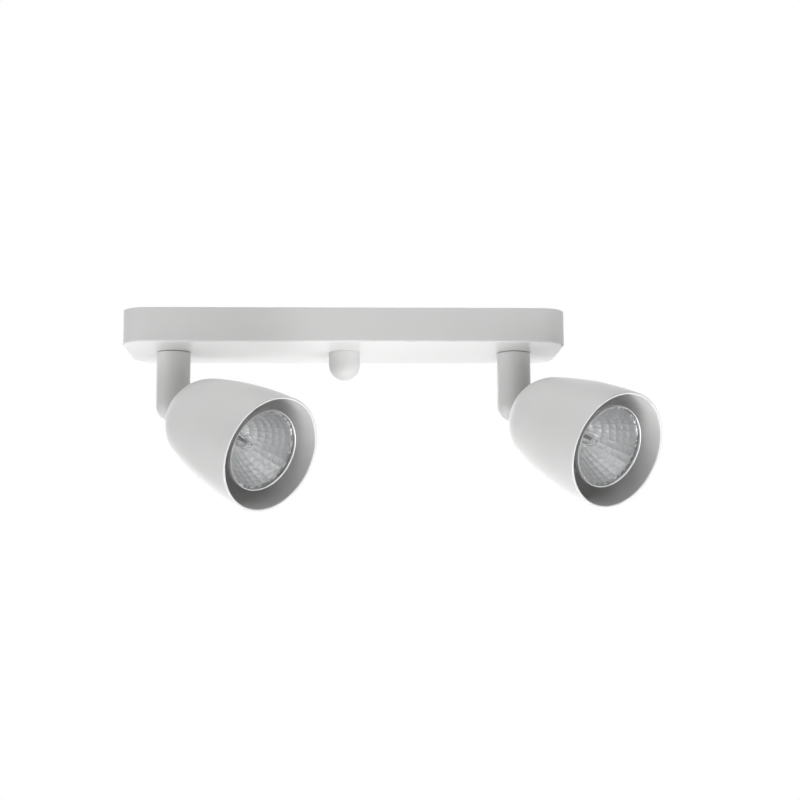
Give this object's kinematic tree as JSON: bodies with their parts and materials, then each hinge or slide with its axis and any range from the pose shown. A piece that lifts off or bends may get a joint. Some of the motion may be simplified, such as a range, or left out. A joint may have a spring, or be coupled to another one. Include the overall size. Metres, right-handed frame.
{
  "type": "twin-head pivoting spotlight bar",
  "caption": "Ceiling or wall bar with a shallow canopy and bullet spotlight heads, each of which swivels on its stem and tilts in a forked ball end.",
  "frame": {"origin": "middle of the mounting plane, between the two fixing slots", "axes": "+X along the bar, +Z out of the mounting plane into the ceiling or wall, -Y the front that the picture shows"},
  "size_m": [0.3234, 0.1345, 0.1243],
  "materials": {
    "white_enamel": "satin white enamel on steel",
    "white_casting": "satin white enamel on aluminium",
    "zinc_steel": "bright zinc plate",
    "weld_steel": "plain steel, painted over",
    "spring_steel": "blued spring steel",
    "plated_brass": "bright",
    "white_moulding": "matt nylon",
    "ceramic": "unglazed steatite, opaque",
    "mirror_coating": "metallised pressed glass",
    "clear_glass": "clear"
  },
  "bodies": {
    "canopy": {"canopy_cover": "white_enamel", "stop_pegs": "weld_steel", "mounting_bracket": "zinc_steel", "centre_stud": "zinc_steel", "stud_nuts": "zinc_steel", "cap_nut": "white_enamel", "terminal_block": "white_moulding", "terminal_screws": "plated_brass", "terminal_fixings": "zinc_steel", "earth_washer": "plated_brass", "earth_screw": "plated_brass"},
    "left_arm": {"left_stem": "white_enamel", "left_nipple": "zinc_steel", "left_friction_washer": "white_moulding", "left_stop_washer": "zinc_steel", "left_spring_washer": "spring_steel", "left_lock_nut": "zinc_steel", "left_pivot_screw": "zinc_steel", "left_tilt_washers": "white_moulding"},
    "left_head": {"left_shade": "white_casting", "left_knuckle": "white_casting", "left_holder_bracket": "zinc_steel", "left_bracket_screws": "zinc_steel", "left_lamp_holder": "ceramic", "left_holder_screws": "zinc_steel", "left_lamp_reflector": "mirror_coating", "left_lamp_glass": "clear_glass", "left_lamp_capsule": "clear_glass", "left_lamp_base": "ceramic", "left_lamp_pins": "zinc_steel"},
    "right_arm": {"right_stem": "white_enamel", "right_nipple": "zinc_steel", "right_friction_washer": "white_moulding", "right_stop_washer": "zinc_steel", "right_spring_washer": "spring_steel", "right_lock_nut": "zinc_steel", "right_pivot_screw": "zinc_steel", "right_tilt_washers": "white_moulding"},
    "right_head": {"right_shade": "white_casting", "right_knuckle": "white_casting", "right_holder_bracket": "zinc_steel", "right_bracket_screws": "zinc_steel", "right_lamp_holder": "ceramic", "right_holder_screws": "zinc_steel", "right_lamp_reflector": "mirror_coating", "right_lamp_glass": "clear_glass", "right_lamp_capsule": "clear_glass", "right_lamp_base": "ceramic", "right_lamp_pins": "zinc_steel"}
  },
  "joints": [
    {"name": "left_swivel", "type": "hinge", "parent": "canopy", "child": "left_arm", "pos_m": [-0.1065, 0, -0.021], "axis": [0, 0, 1], "range_deg": [-211.5, 118.5]},
    {"name": "left_tilt", "type": "hinge", "parent": "left_arm", "child": "left_head", "pos_m": [-0.1065, 0, -0.0542], "axis": [0.6884, 0.7254, 0], "range_deg": [-11.2, 66.8]},
    {"name": "right_swivel", "type": "hinge", "parent": "canopy", "child": "right_arm", "pos_m": [0.1065, 0, -0.021], "axis": [0, 0, 1], "range_deg": [-201.5, 128.5]},
    {"name": "right_tilt", "type": "hinge", "parent": "right_arm", "child": "right_head", "pos_m": [0.1065, 0, -0.0542], "axis": [0.8039, 0.5948, 0], "range_deg": [-10.5, 67.5]}
  ]
}
